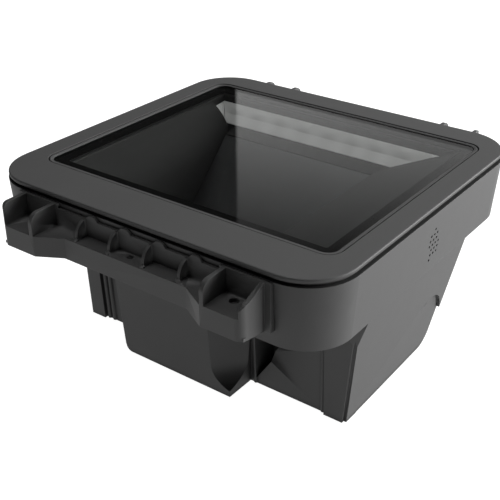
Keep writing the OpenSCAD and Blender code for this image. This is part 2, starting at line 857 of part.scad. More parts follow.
module main_board() {
    color(board_green) difference() {
        box([board_x, -42, 6], [board_x + 1.6, 12, 42]);
        for (p = board_holes) rod([60, p[0], p[1]], [70, p[0], p[1]], 1.3);
    }
}

module board_chips() {
    color([0.08, 0.08, 0.09]) {
        box([board_x - 1.4, -22, 16], [board_x, -8, 30]);
        box([board_x - 1.2, -4, 18], [board_x, 4, 28]);
        box([board_x - 3, -34, 20], [board_x, -28, 32]);
        for (y = [-10, -2]) rod([board_x - 6, y, 10.5], [board_x, y, 10.5], 2.6);
    }
}

module shield_can() {
    color(steel) difference() {
        box([board_x + 1.6, -24, 14], [board_x + 4.2, -2, 32]);
        box([board_x + 1, -23.6, 14.4], [board_x + 3.8, -2.4, 31.6]);
    }
}

module board_screws() {
    color(steel) {
        for (p = board_holes) translate([board_x - 0.05, p[0], p[1]]) rotate([0, 90, 0])
            screw(1.05, 6, 2.2, 1.3);
        for (p = connector_hole) translate([p[0], p[1], 28.65]) mirror([0, 0, 1])
            screw(1.05, 5, 2.2, 1.3);
    }
}

jack_lo = [35, -34.6, 28.6];
jack_hi = [49, -19.6, 40.4];
power_axis = [55.5, 34];

module connector_board() {
    color(board_green) difference() {
        box([33.5, -34.4, 27], [60.6, -13, 28.6]);
        for (p = connector_hole) translate([p[0], p[1], 20]) cylinder(h = 10, r = 1.3);
    }
}

// Modular socket with a stepped mouth for the latch
module interface_jack() {
    color(ink_black) difference() {
        box([jack_lo[0], bucket_front + recess_depth - 1.6, jack_lo[2]], jack_hi);
        box([jack_lo[0] + 1.3, -40, jack_lo[2] + 1.5], [jack_hi[0] - 1.3, -24, jack_hi[2] - 3.2]);
        box([jack_lo[0] + 4, -40, jack_lo[2] + 5], [jack_hi[0] - 4, -24, jack_hi[2] - 1.2]);
    }
}

module power_jack() {
    x = power_axis[0];
    z = power_axis[1];
    color(ink_black) {
        difference() {
            union() {
                box([x - 4.5, -34.6, 28.6], [x + 4.5, -21, 38.6]);
                rod([x, -36.4, z], [x, -34.5, z], 3.4);
            }
            rod([x, -40, z], [x, -24, z], 2.75);
        }
        rod([x, -35.5, z], [x, -23, z], 0.95);
    }
}

// ---------- speaker ----------

module speaker_frame() {
    color(steel) difference() {
        rod([speaker_x - 3.3, speaker_y, speaker_z], [speaker_x, speaker_y, speaker_z], 9);
        rod([speaker_x - 2.5, speaker_y, speaker_z], [speaker_x + 1, speaker_y, speaker_z], 8);
        rod([speaker_x - 6, speaker_y, speaker_z], [speaker_x, speaker_y, speaker_z], 4.6);
    }
}

module speaker_cone() {
    color(ink_black) translate([speaker_x - 2.2, speaker_y, speaker_z]) rotate([0, 90, 0])
        rotate_extrude() polygon([[0, 0.4], [3, 0], [7.6, 1.5], [7.9, 1.5], [7.9, 1.9], [7.5, 1.9],
            [3, 0.4], [0, 0.8]]);
}

module speaker_magnet() {
    color(steel) rod([speaker_x - 5.8, speaker_y, speaker_z], [speaker_x - 2.6, speaker_y, speaker_z], 4.5);
}

module speaker_gasket() {
    color(ink_black) difference() {
        rod([speaker_x, speaker_y, speaker_z], [speaker_x + 0.7, speaker_y, speaker_z], 9);
        rod([speaker_x - 1, speaker_y, speaker_z], [speaker_x + 2, speaker_y, speaker_z], 7.9);
    }
}

// ---------- function button ----------

module button_board() {
    color(board_green) box([-71, -10, 51.1], [-69.8, 10, 62]);
}

module button_switch() {
    color(ink_black) box([-73.2, -3, button_z - 3], [-71, 3, button_z + 3]);
}

// Domed cap with a stem and a flange that stays behind the wall
module function_button() {
    color([0.28, 0.28, 0.3]) translate([-74.2, 0, button_z]) rotate([0, -90, 0]) {
        cylinder(h = 4.2, r = button_r);
        translate([0, 0, -0.1]) cylinder(h = 0.8, r = button_r);
    }
}

// ---------- cables ----------

module camera_ribbon() {
    color([0.75, 0.55, 0.2]) {
        box([-2, -55.6, 3], [8, -55.3, 16]);
        box([-2, -55.6, 3], [8, -24, 3.3]);
        box([-2, -33.6, 3], [board_x - 0.2, -24, 3.3]);
        box([board_x - 0.5, -33.6, 3], [board_x - 0.2, -24, 12]);
    }
}

module led_cable() {
    color(ink_black) wire([[49, -49, 53], [69, -49, 53], [69, -39, 50], [68, -37, 41]], 0.9);
}

module speaker_wires() {
    for (s = [0, 1]) color(s == 0 ? "red" : "black")
        wire([[70.5, speaker_y + 2 * s - 1, 50.6], [69, s * 2 + 1, 46], [66.6, s * 2 - 1, 41]], 0.45);
}

module button_cable() {
    color(ink_black) wire([[-68.6, -8, 54], [-67, -14, 49], [-67, -60, 49], [-59, -69, 49],
        [56, -69, 49], [66, -56, 49], [66, -44.4, 48], [65.9, -44.2, 41]], 0.8);
}

upper_housing();
lower_housing();
front_bracket();
rear_bracket();
bracket_screws();
housing_screws();
cover_seal();
top_cover();
window_frame();
window_gasket();
window_glass();
optics_chassis();
chassis_screws();
light_reflector();
led_board();
leds();
fold_mirror();
mirror_carrier();
camera_bracket();
lens_barrel();
lens_glass();
sensor_board();
camera_screws();
main_board();
board_chips();
shield_can();
board_screws();
connector_board();
interface_jack();
power_jack();
speaker_frame();
speaker_cone();
speaker_magnet();
speaker_gasket();
button_board();
button_switch();
function_button();
camera_ribbon();
led_cable();
speaker_wires();
button_cable();
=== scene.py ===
"""Looks of an in-counter flatbed barcode scanner: a square glass window in a charcoal
plastic case, with a mounting bracket at the front and at the back."""

import json
import math

import bmesh
import bpy
import numpy as np
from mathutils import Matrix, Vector


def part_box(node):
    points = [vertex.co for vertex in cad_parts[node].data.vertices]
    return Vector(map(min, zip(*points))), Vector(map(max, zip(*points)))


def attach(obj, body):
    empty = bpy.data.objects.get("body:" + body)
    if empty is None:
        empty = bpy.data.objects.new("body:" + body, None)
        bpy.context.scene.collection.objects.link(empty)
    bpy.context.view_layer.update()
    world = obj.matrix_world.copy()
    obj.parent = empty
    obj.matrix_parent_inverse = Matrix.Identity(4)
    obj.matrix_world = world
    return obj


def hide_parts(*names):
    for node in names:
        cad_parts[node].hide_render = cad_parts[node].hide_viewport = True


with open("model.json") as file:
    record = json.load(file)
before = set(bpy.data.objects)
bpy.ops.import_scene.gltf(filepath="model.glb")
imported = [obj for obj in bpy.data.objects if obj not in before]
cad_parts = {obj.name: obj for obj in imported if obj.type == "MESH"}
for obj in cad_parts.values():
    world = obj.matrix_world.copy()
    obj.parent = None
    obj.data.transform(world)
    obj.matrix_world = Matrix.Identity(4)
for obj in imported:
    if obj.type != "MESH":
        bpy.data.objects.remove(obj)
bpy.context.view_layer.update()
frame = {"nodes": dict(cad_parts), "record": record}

bl_info = {
    "name": "Counter scanner",
    "version": (1, 0, 0),
    "blender": (4, 5, 0),
    "location": "3D View > Sidebar > Scanner",
    "description": "Builds the case, window, optics and fittings of a flatbed barcode scanner",
    "category": "Object",
}

NODES = frame["nodes"]
BODY_OF = {node: body for body, nodes in frame["record"]["behaviour"]["bodies"].items() for node in nodes}
MM = 0.001
MOULDED_CRISP = 20.0


def tone(text):
    """Linear red, green and blue of an sRGB hex colour."""
    c = np.array([int(text[i:i + 2], 16) for i in (1, 3, 5)]) / 255
    return tuple(float(v) for v in np.where(c <= 0.04045, c / 12.92, ((c + 0.055) / 1.055) ** 2.4))


# ---------- sizes and colours a user may change ----------


class ScannerSizes(bpy.types.PropertyGroup):
    bezel_edge: bpy.props.FloatProperty(
        name="Bezel edge", description="Radius of the bezel's outer top edge",
        default=0.0006, min=0.0003, max=0.0012, unit="LENGTH")
    opening_edge: bpy.props.FloatProperty(
        name="Opening edge", description="Radius of the edge round the window opening",
        default=0.00012, min=0.0001, max=0.0008, unit="LENGTH")
    frame_step: bpy.props.FloatProperty(
        name="Frame step", description="Drop of the window frame's inner half",
        default=0.0001, min=0.0, max=0.0003, unit="LENGTH")
    glass_edge: bpy.props.FloatProperty(
        name="Glass edge", description="Ground edge of the glass",
        default=0.00012, min=0.0001, max=0.0005, unit="LENGTH")
    border_dot: bpy.props.FloatProperty(
        name="Border dot", description="Spacing of the dots printed on the black border",
        default=0.0009, min=0.0004, max=0.002, unit="LENGTH")
    reflector_wave: bpy.props.FloatProperty(
        name="Reflector wave", description="Depth of the swells along the white reflector",
        default=0.00035, min=0.0, max=0.0006, unit="LENGTH")
    floor_size: bpy.props.FloatProperty(
        name="Floor size", description="Width of the floor", default=12.0, min=2.0, unit="LENGTH")


class ScannerColours(bpy.types.PropertyGroup):
    housing: bpy.props.FloatVectorProperty(
        name="Housing", description="Moulded case and brackets", subtype="COLOR",
        default=tone("#404040"))
    bezel: bpy.props.FloatVectorProperty(
        name="Bezel", description="Bezel plate and window frame", subtype="COLOR",
        default=tone("#464646"))
    hood: bpy.props.FloatVectorProperty(
        name="Hood", description="Funnel under the glass", subtype="COLOR",
        default=tone("#272727"))
    border: bpy.props.FloatVectorProperty(
        name="Border", description="Black border seen through the glass", subtype="COLOR",
        default=tone("#040404"))
    reflector: bpy.props.FloatVectorProperty(
        name="Reflector", description="White light reflector", subtype="COLOR",
        default=tone("#f6f6f6"))
    board: bpy.props.FloatVectorProperty(
        name="Boards", description="Solder mask of the circuit boards", subtype="COLOR",
        default=tone("#14532f"))
    floor: bpy.props.FloatVectorProperty(
        name="Floor", description="Studio floor", subtype="COLOR", default=tone("#8c8c8c"))


# ---------- surfaces ----------


def reach(node):
    """Lowest and highest corner of a part, in millimetres."""
    low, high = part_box(node)
    return np.array(low) / MM, np.array(high) / MM


def surface(name, grid, wrap=(False, True), caps=False):
    """Mesh of a grid of points. Point (i, j) is joined to (i + 1, j) and (i, j + 1), and the
    rows or columns close on themselves where wrap says so. The outside is on the side of
    (step along j) x (step along i). Caps close the first and the last row with one face."""
    rows, cols = grid.shape[:2]
    i = np.arange(rows if wrap[0] else rows - 1)[:, None]
    j = np.arange(cols if wrap[1] else cols - 1)[None, :]
    i1, j1 = (i + 1) % rows, (j + 1) % cols
    faces = np.stack(np.broadcast_arrays(i * cols + j, i * cols + j1, i1 * cols + j1, i1 * cols + j),
                     -1).reshape(-1, 4).tolist()
    if caps:
        faces += [np.arange(cols)[::-1].tolist(), (np.arange(cols) + (rows - 1) * cols).tolist()]
    mesh = bpy.data.meshes.new(name)
    mesh.from_pydata((grid.reshape(-1, 3) * MM).tolist(), [], faces)
    return mesh


def soften(corners, radii, steps=5):
    """A closed outline with its corners rounded. Each corner p becomes the parabola
    (1 - s)^2 a + 2 s (1 - s) p + s^2 b, where a and b lie one radius along its two sides."""
    p = np.asarray(corners, float)
    r = np.broadcast_to(np.asarray(radii, float), len(p))[:, None]
    back, ahead = np.roll(p, 1, 0) - p, np.roll(p, -1, 0) - p
    a = p + back / np.linalg.norm(back, axis=1, keepdims=True) * r
    b = p + ahead / np.linalg.norm(ahead, axis=1, keepdims=True) * r
    s = np.linspace(0, 1, steps)[None, :, None]
    bend = (1 - s) ** 2 * a[:, None] + 2 * s * (1 - s) * p[:, None] + s ** 2 * b[:, None]
    return bend.reshape(-1, p.shape[1])


def round_rings(centre, half, radius, height, arc=13, side=12):
    """Rings round a rectangle with round corners, one for each row of half sizes, radii and
    heights. A corner's point at angle t is its centre + radius (cos t, sin t), and equal
    steps join one corner's end to the next one's start."""
    sign = np.array([[1, 1], [-1, 1], [-1, -1], [1, -1]])
    t = np.radians(np.array([0, 90, 180, 270])[:, None] + np.linspace(0, 90, arc)[None, :])
    turn = np.stack([np.cos(t), np.sin(t)], -1)
    r = np.asarray(radius, float)[:, None, None, None]
    mid = np.asarray(centre, float)[:, None, None, :] + sign[None, :, None, :] * (
        np.asarray(half, float)[:, None, None, :] - r)
    corner = mid + r * turn[None]
    start, end = corner[:, :, -1:, :], np.roll(corner, -1, 1)[:, :, :1, :]
    s = np.linspace(0, 1, side + 2)[None, None, 1:-1, None]
    plan = np.concatenate([corner, start + s * (end - start)], 2).reshape(len(r), -1, 2)
    z = np.broadcast_to(np.asarray(height, float)[:, None, None], plan.shape[:2] + (1,))
    return np.concatenate([plan, z], -1)


FAR = 100.0


def hoop(name, section, radii, outer, inner=None, least=2.0):
    """A closed section carried round a rectangle with round corners. A section point is (offset,
    height): the offset grows the outer outline, or the inner one where it is counted from -FAR.
    An outline is (centre x, centre y, half width, half depth, corner radius)."""
    line = soften(section, radii)
    near = (line[:, :1] > -FAR / 2)
    base = np.where(near, np.array(outer)[None], np.array(inner or outer)[None])
    offset = np.where(near[:, 0], line[:, 0], line[:, 0] + FAR)
    rings = round_rings(base[:, :2], base[:, 2:4] + offset[:, None],
                        np.maximum(base[:, 4] + offset, least), line[:, 1])
    return surface(name, rings, wrap=(True, True))


def slab(name, low, high, radius, edge):
    """A plate with round upright corners whose top and bottom edges follow a quarter circle:
    the outline shrinks by edge (1 - cos t) as the height runs through edge (1 - sin t)."""
    t = np.radians(np.linspace(0, 90, 5))
    shrink = np.concatenate([edge * (1 - np.cos(t))[::-1], edge * (1 - np.cos(t))])
    z = np.concatenate([low[2] + edge * (1 - np.sin(t))[::-1], high[2] - edge * (1 - np.sin(t))])
    centre = np.tile((low[:2] + high[:2]) / 2, (len(z), 1))
    half = np.tile((high[:2] - low[:2]) / 2, (len(z), 1)) - shrink[:, None]
    rings = round_rings(centre, half, np.maximum(radius - shrink, 0.05), z, arc=7, side=2)
    return surface(name, rings, caps=True)


def turned(name, profile, origin, axis, steps=64, hollow=False):
    """A profile of (radius, distance) points turned once round an axis: point (i, j) is
    origin + distance_i axis + radius_i (cos t_j u + sin t_j v), with u and v square to the axis.
    A hollow one's profile closes on itself away from the axis."""
    axis = np.asarray(axis, float)
    u = np.cross(axis, [0.0, 0.0, 1.0] if abs(axis[2]) < 0.9 else [1.0, 0.0, 0.0])
    u /= np.linalg.norm(u)
    v = np.cross(axis, u)
    t = np.linspace(0, 2 * np.pi, steps, endpoint=False)
    ring = np.cos(t)[None, :, None] * u + np.sin(t)[None, :, None] * v
    p = np.asarray(profile, float)
    grid = np.asarray(origin) + p[:, 1, None, None] * axis + np.maximum(p[:, 0], 1e-3)[:, None, None] * ring
    return surface(name, grid, wrap=(hollow, True), caps=not hollow)


def prism(name, outline, low, high, edge):
    """An outline in the depth-height plane carried along X. At both ends it shrinks along its
    own normals by edge (1 - cos t) over the last edge (1 - sin t) of its length."""
    p = np.asarray(outline, float)
    along = np.roll(p, -1, 0) - np.roll(p, 1, 0)
    inward = np.stack([-along[:, 1], along[:, 0]], -1) / np.linalg.norm(along, axis=1, keepdims=True)
    t = np.radians(np.linspace(0, 90, 4))
    shrink = np.concatenate([edge * (1 - np.cos(t))[::-1], edge * (1 - np.cos(t))])
    x = np.concatenate([low + edge * (1 - np.sin(t))[::-1], high - edge * (1 - np.sin(t))])
    plan = p[None] + shrink[:, None, None] * inward[None]
    return surface(name, np.concatenate([np.broadcast_to(x[:, None, None], plan.shape[:2] + (1,)), plan], -1),
                   caps=True)


def tube(name, points, radius, sides=10, steps=8):
    """A round wire along a smooth line: between points b and c the line is the Catmull-Rom
    curve of a, b, c and d, and each ring is square to the line there."""
    p = np.asarray(points, float)
    p = np.concatenate([2 * p[:1] - p[1:2], p, 2 * p[-1:] - p[-2:-1]])
    a, b, c, d = (p[k:len(p) - 3 + k, None] for k in range(4))
    s = np.linspace(0, 1, steps, endpoint=False)[None, :, None]
    line = 0.5 * (2 * b + (c - a) * s + (2 * a - 5 * b + 4 * c - d) * s ** 2
                  + (3 * b - a - 3 * c + d) * s ** 3).reshape(-1, 3)
    line = np.concatenate([line, p[-2:-1]])
    along = np.gradient(line, axis=0)
    along /= np.linalg.norm(along, axis=1, keepdims=True)
    u = np.cross(along, [0.31, 0.17, 0.93])
    u /= np.linalg.norm(u, axis=1, keepdims=True)
    v = np.cross(along, u)
    t = np.linspace(0, 2 * np.pi, sides, endpoint=False)
    ring = np.cos(t)[None, :, None] * u[:, None] + np.sin(t)[None, :, None] * v[:, None]
    return surface(name, line[:, None] + radius * ring, caps=True)


def joined(name, meshes):
    """One mesh of several."""
    bm = bmesh.new()
    for mesh in meshes:
        bm.from_mesh(mesh)
        bpy.data.meshes.remove(mesh)
    mesh = bpy.data.meshes.new(name)
    bm.to_mesh(mesh)
    bm.free()
    return mesh


def moulded_copy(node):
    """A part's own surface with its doubled points merged. The piece it is put in makes it smooth
    across every edge that turns less than 20 degrees and crisp across the rest."""
    bm = bmesh.new()
    bm.from_mesh(NODES[node].data)
    bmesh.ops.remove_doubles(bm, verts=bm.verts, dist=2e-6)
    bmesh.ops.dissolve_degenerate(bm, edges=bm.edges, dist=1e-6)
    mesh = bpy.data.meshes.new(node + "_moulding")
    bm.to_mesh(mesh)
    bm.free()
    return mesh


def piece(mesh, material, nodes, body=None, crisp=32.0):
    """Puts a mesh in the scene as one piece that stands for some parts and moves with their body."""
    mesh.materials.clear()
    mesh.materials.append(material)
    mesh.shade_smooth()
    mesh.set_sharp_from_angle(angle=math.radians(crisp))
    thing = bpy.data.objects.new(mesh.name, mesh)
    bpy.context.scene.collection.objects.link(thing)
    even = thing.modifiers.new("Even shading", "WEIGHTED_NORMAL")
    even.mode = "FACE_AREA"
    even.weight = 50
    even.keep_sharp = True
    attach(thing, body or BODY_OF[nodes[0]])
    if nodes:
        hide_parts(*nodes)
    return thing


def dress(material, *nodes):
    """Gives the parts that keep their own shape a material."""
    for node in nodes:
        mesh = NODES[node].data
        if not mesh.materials:
            mesh.materials.append(material)
        for k in range(len(mesh.materials)):
            mesh.materials[k] = material


# ---------- materials ----------


def add(tree, kind, inputs=None, **settings):
    """Adds a shader node. An input is set to a value or linked from a socket."""
    made = tree.nodes.new(kind)
    for key, value in settings.items():
        setattr(made, key, value)
    for key, value in (inputs or {}).items():
        if isinstance(value, bpy.types.NodeSocket):
            tree.links.new(value, made.inputs[key])
        else:
            made.inputs[key].default_value = value
    return made


def fresh(name):
    """A new material with an empty tree, its output and a point on the object."""
    material = bpy.data.materials.new(name)
    material.use_nodes = True
    tree = material.node_tree
    tree.nodes.clear()
    point = add(tree, "ShaderNodeTexCoord").outputs["Object"]
    return material, tree, add(tree, "ShaderNodeOutputMaterial"), point


def rgba(colour, factor=1.0):
    """A colour, made lighter or darker by a factor, with full opacity."""
    return tuple(min(1.0, c * factor) for c in colour) + (1.0,)


def blend(tree, factor, first, second):
    """Colour between two, by a factor."""
    return add(tree, "ShaderNodeMix", {0: factor, 6: first, 7: second}, data_type="RGBA").outputs[2]


def moulded(name, colour, roughness, grain, depth, cloud=0.07, edge_highlight=0.1, edge=0.2, ior=1.46, shine=0.5,
             painted_shade=0.0):
    """Injection-moulded plastic: an even colour with faint flow clouds, a fine spark-eroded
    grain of the given spacing and depth in millimetres, edges that the tool rounds off and
    that carry a painted highlight, and joints and holes darkened with painted shade."""
    material, tree, output, point = fresh(name)
    flow = add(tree, "ShaderNodeTexNoise", {"Vector": point, "Scale": 1 / 0.028, "Detail": 3.0})
    fine = add(tree, "ShaderNodeTexNoise", {
        "Vector": point, "Scale": 1 / (grain * MM), "Detail": 2.0, "Roughness": 0.6})
    soft = add(tree, "ShaderNodeBevel", {"Radius": edge * MM}, samples=6)
    face = add(tree, "ShaderNodeNewGeometry")
    turn = add(tree, "ShaderNodeVectorMath", {
        0: soft.outputs["Normal"], 1: face.outputs["True Normal"]}, operation="DOT_PRODUCT")
    # Painted highlight: at edges, where the rounded normal turns away from the true one, the colour is lightened
    # towards 2.2 times itself.
    highlight_mask = add(tree, "ShaderNodeMapRange", {
        "Value": turn.outputs["Value"], "From Min": 0.98, "From Max": 0.75, "To Min": 0.0, "To Max": edge_highlight})
    body = blend(tree, flow.outputs["Fac"], rgba(colour, 1 - cloud), rgba(colour, 1 + cloud))
    painted_light_colour = blend(tree, highlight_mask.outputs["Result"], body, rgba(colour, 2.2))
    # Painted shade: where an occlusion test finds other surfaces within 2.5 mm, in joints, creases and holes, the
    # colour darkens towards a tenth of itself.
    if painted_shade:
        open_sky = add(tree, "ShaderNodeAmbientOcclusion", {"Distance": 2.5 * MM}, samples=6)
        shade = add(tree, "ShaderNodeMapRange", {
            "Value": open_sky.outputs["AO"], "From Min": 0.5, "From Max": 0.96,
            "To Min": painted_shade, "To Max": 0.0})
        painted_light_colour = blend(tree, shade.outputs["Result"], painted_light_colour, rgba(colour, 0.1))
    gloss = add(tree, "ShaderNodeMapRange", {
        "Value": flow.outputs["Fac"], "From Min": 0.3, "From Max": 0.7,
        "To Min": roughness - 0.04, "To Max": roughness + 0.04})
    bump = add(tree, "ShaderNodeBump", {
        "Height": fine.outputs["Fac"], "Distance": depth * MM, "Strength": 1.0,
        "Normal": soft.outputs["Normal"]})
    shader = add(tree, "ShaderNodeBsdfPrincipled", {
        "Base Color": painted_light_colour, "Roughness": gloss.outputs["Result"],
        "Normal": bump.outputs["Normal"], "IOR": ior, "Specular IOR Level": shine})
    tree.links.new(shader.outputs["BSDF"], output.inputs["Surface"])
    return material


def printed_border(name, colour, dot):
    """Black print behind the glass: deep black, with a fine screen of dots a shade lighter
    and smoother than the ink between them."""
    material, tree, output, point = fresh(name)
    cell = add(tree, "ShaderNodeTexVoronoi", {
        "Vector": point, "Scale": 1 / dot, "Randomness": 0.0}, feature="F1", voronoi_dimensions="3D")
    spot = add(tree, "ShaderNodeMapRange", {
        "Value": cell.outputs["Distance"], "From Min": 0.34, "From Max": 0.26, "To Min": 0.0, "To Max": 1.0})
    ink = blend(tree, spot.outputs["Result"], rgba(colour), rgba(colour, 2.0))
    gloss = add(tree, "ShaderNodeMapRange", {"Value": spot.outputs["Result"], "To Min": 0.95, "To Max": 0.85})
    shader = add(tree, "ShaderNodeBsdfPrincipled", {
        "Base Color": ink, "Roughness": gloss.outputs["Result"], "IOR": 1.45, "Specular IOR Level": 0.02})
    tree.links.new(shader.outputs["BSDF"], output.inputs["Surface"])
    return material


def float_glass(name):
    """Hard-coated float glass: nearly clear, with a sharp reflection that faint wipe marks
    soften a little. Lamps shine through it."""
    material, tree, output, point = fresh(name)
    wipe = add(tree, "ShaderNodeTexNoise", {"Vector": point, "Scale": 1 / 0.05, "Detail": 1.0})
    haze = add(tree, "ShaderNodeMapRange", {
        "Value": wipe.outputs["Fac"], "From Min": 0.3, "From Max": 0.8, "To Min": 0.0, "To Max": 0.008})
    glass = add(tree, "ShaderNodeBsdfPrincipled", {
        "Base Color": rgba(tone("#f8f9f8")), "Roughness": haze.outputs["Result"], "IOR": 1.52,
        "Transmission Weight": 1.0})
    clear = add(tree, "ShaderNodeBsdfTransparent", {"Color": rgba(tone("#f2f3f2"))})
    ray = add(tree, "ShaderNodeLightPath")
    lamp = add(tree, "ShaderNodeMath", {
        0: ray.outputs["Is Shadow Ray"], 1: ray.outputs["Is Diffuse Ray"]}, operation="MAXIMUM")
    mix = add(tree, "ShaderNodeMixShader", {
        0: lamp.outputs["Value"], 1: glass.outputs["BSDF"], 2: clear.outputs["BSDF"]})
    tree.links.new(mix.outputs["Shader"], output.inputs["Surface"])
    return material


def painted_white(name, colour):
    """White satin reflector moulding: bright and smooth, with slow waves in the gloss and
    a painted pool of light every 13 mm, paler in front of each lamp and darker between."""
    material, tree, output, point = fresh(name)
    wave = add(tree, "ShaderNodeTexNoise", {"Vector": point, "Scale": 1 / 0.018, "Detail": 1.5})
    # Painted light: wave bands 13 mm apart darken the white to 0.86 between the lamps and leave a paler pool in
    # front of each.
    lamp_pool = add(tree, "ShaderNodeTexWave", {
        "Vector": point, "Scale": 0.314 / 0.013, "Distortion": 2.5, "Detail": 1.0}, bands_direction="X")
    cloudy = blend(tree, wave.outputs["Fac"], rgba(colour, 0.9), rgba(colour, 1.0))
    body = blend(tree, lamp_pool.outputs["Fac"], rgba(colour, 0.86), cloudy)
    bump = add(tree, "ShaderNodeBump", {"Height": wave.outputs["Fac"], "Distance": 0.0004, "Strength": 0.6})
    gloss = add(tree, "ShaderNodeMapRange", {"Value": wave.outputs["Fac"], "To Min": 0.28, "To Max": 0.42})
    shader = add(tree, "ShaderNodeBsdfPrincipled", {
        "Base Color": body, "Roughness": gloss.outputs["Result"], "Normal": bump.outputs["Normal"],
        "IOR": 1.5})
    tree.links.new(shader.outputs["BSDF"], output.inputs["Surface"])
    return material


def metal(name, colour, roughness, grain, stretch=(1.0, 1.0, 1.0), depth=0.01, stain=0.08):
    """Bare or plated metal: its colour varies a little, and fine drawing or tumbling marks
    of the given spacing in millimetres roughen its shine."""
    material, tree, output, point = fresh(name)
    drawn = add(tree, "ShaderNodeMapping", {"Vector": point, "Scale": stretch})
    marks = add(tree, "ShaderNodeTexNoise", {
        "Vector": drawn.outputs["Vector"], "Scale": 1 / (grain * MM), "Detail": 3.0})
    body = blend(tree, marks.outputs["Fac"], rgba(colour, 1 - stain), rgba(colour, 1 + stain))
    gloss = add(tree, "ShaderNodeMapRange", {
        "Value": marks.outputs["Fac"], "From Min": 0.25, "From Max": 0.75,
        "To Min": roughness - 0.08, "To Max": roughness + 0.08})
    bump = add(tree, "ShaderNodeBump", {
        "Height": marks.outputs["Fac"], "Distance": depth * MM, "Strength": 0.5})
    shader = add(tree, "ShaderNodeBsdfPrincipled", {
        "Base Color": body, "Metallic": 1.0, "Roughness": gloss.outputs["Result"],
        "Normal": bump.outputs["Normal"]})
    tree.links.new(shader.outputs["BSDF"], output.inputs["Surface"])
    return material


def silvered_glass(name):
    """Front-silvered mirror under a fine bloom of dust: a soft, dim grey shine, a shade
    paler where the dust is thicker."""
    material, tree, output, point = fresh(name)
    dust = add(tree, "ShaderNodeTexNoise", {"Vector": point, "Scale": 1 / 0.04, "Detail": 2.0})
    body = blend(tree, dust.outputs["Fac"], rgba(tone("#6a6b6c")), rgba(tone("#767778")))
    silver = add(tree, "ShaderNodeBsdfPrincipled", {"Base Color": body, "Metallic": 1.0, "Roughness": 0.3})
    bloom = add(tree, "ShaderNodeBsdfDiffuse", {"Color": rgba(tone("#3e3e3f")), "Roughness": 0.8})
    shader = add(tree, "ShaderNodeMixShader", {0: 0.4, 1: silver.outputs["BSDF"], 2: bloom.outputs["BSDF"]})
    tree.links.new(shader.outputs["Shader"], output.inputs["Surface"])
    return material


def laminate(name, colour):
    """Glass-fibre circuit board under a green solder mask: the woven cloth shows as a faint
    grid 0.5 mm apart, and copper tracks run under the mask as lighter bands."""
    material, tree, output, point = fresh(name)
    cloth = add(tree, "ShaderNodeTexWave", {"Vector": point, "Scale": 1 / 0.0032, "Distortion": 1.5})
    route = add(tree, "ShaderNodeTexVoronoi", {"Vector": point, "Scale": 1 / 0.0035, "Randomness": 0.35},
                feature="F1", distance="MANHATTAN")
    track = add(tree, "ShaderNodeMapRange", {
        "Value": route.outputs["Distance"], "From Min": 0.42, "From Max": 0.5, "To Min": 0.0, "To Max": 0.8})
    mask = blend(tree, cloth.outputs["Fac"], rgba(colour, 0.9), rgba(colour, 1.1))
    body = blend(tree, track.outputs["Result"], mask, rgba(colour, 1.9))
    bump = add(tree, "ShaderNodeBump", {
        "Height": track.outputs["Result"], "Distance": 0.00004, "Strength": 1.0})
    shader = add(tree, "ShaderNodeBsdfPrincipled", {
        "Base Color": body, "Roughness": 0.32, "Normal": bump.outputs["Normal"], "IOR": 1.52})
    tree.links.new(shader.outputs["BSDF"], output.inputs["Surface"])
    return material


def rubber(name, colour, roughness=0.7):
    """Moulded rubber: dull, with a fine chalky bloom and a soft pebbled skin 0.4 mm apart."""
    material, tree, output, point = fresh(name)
    skin = add(tree, "ShaderNodeTexVoronoi", {"Vector": point, "Scale": 1 / 0.0004}, feature="SMOOTH_F1")
    bloom = add(tree, "ShaderNodeTexNoise", {"Vector": point, "Scale": 1 / 0.006, "Detail": 4.0})
    body = blend(tree, bloom.outputs["Fac"], rgba(colour, 0.85), rgba(colour, 1.35))
    bump = add(tree, "ShaderNodeBump", {
        "Height": skin.outputs["Distance"], "Distance": 0.00003, "Strength": 0.7})
    gloss = add(tree, "ShaderNodeMapRange", {
        "Value": bloom.outputs["Fac"], "To Min": roughness - 0.1, "To Max": roughness + 0.1})
    shader = add(tree, "ShaderNodeBsdfPrincipled", {
        "Base Color": body, "Roughness": gloss.outputs["Result"], "Normal": bump.outputs["Normal"],
        "IOR": 1.5})
    tree.links.new(shader.outputs["BSDF"], output.inputs["Surface"])
    return material


def lens(name, tint, roughness=0.02):
    """Coated or cast clear material: faintly tinted, with a slight ripple in its polish."""
    material, tree, output, point = fresh(name)
    ripple = add(tree, "ShaderNodeTexNoise", {"Vector": point, "Scale": 1 / 0.002, "Detail": 2.0})
    body = blend(tree, ripple.outputs["Fac"], rgba(tint, 0.95), rgba(tint, 1.0))
    bump = add(tree, "ShaderNodeBump", {
        "Height": ripple.outputs["Fac"], "Distance": 0.00001, "Strength": 0.4})
    shader = add(tree, "ShaderNodeBsdfPrincipled", {
        "Base Color": body, "Roughness": roughness, "IOR": 1.55, "Transmission Weight": 0.6,
        "Normal": bump.outputs["Normal"]})
    tree.links.new(shader.outputs["BSDF"], output.inputs["Surface"])
    return material


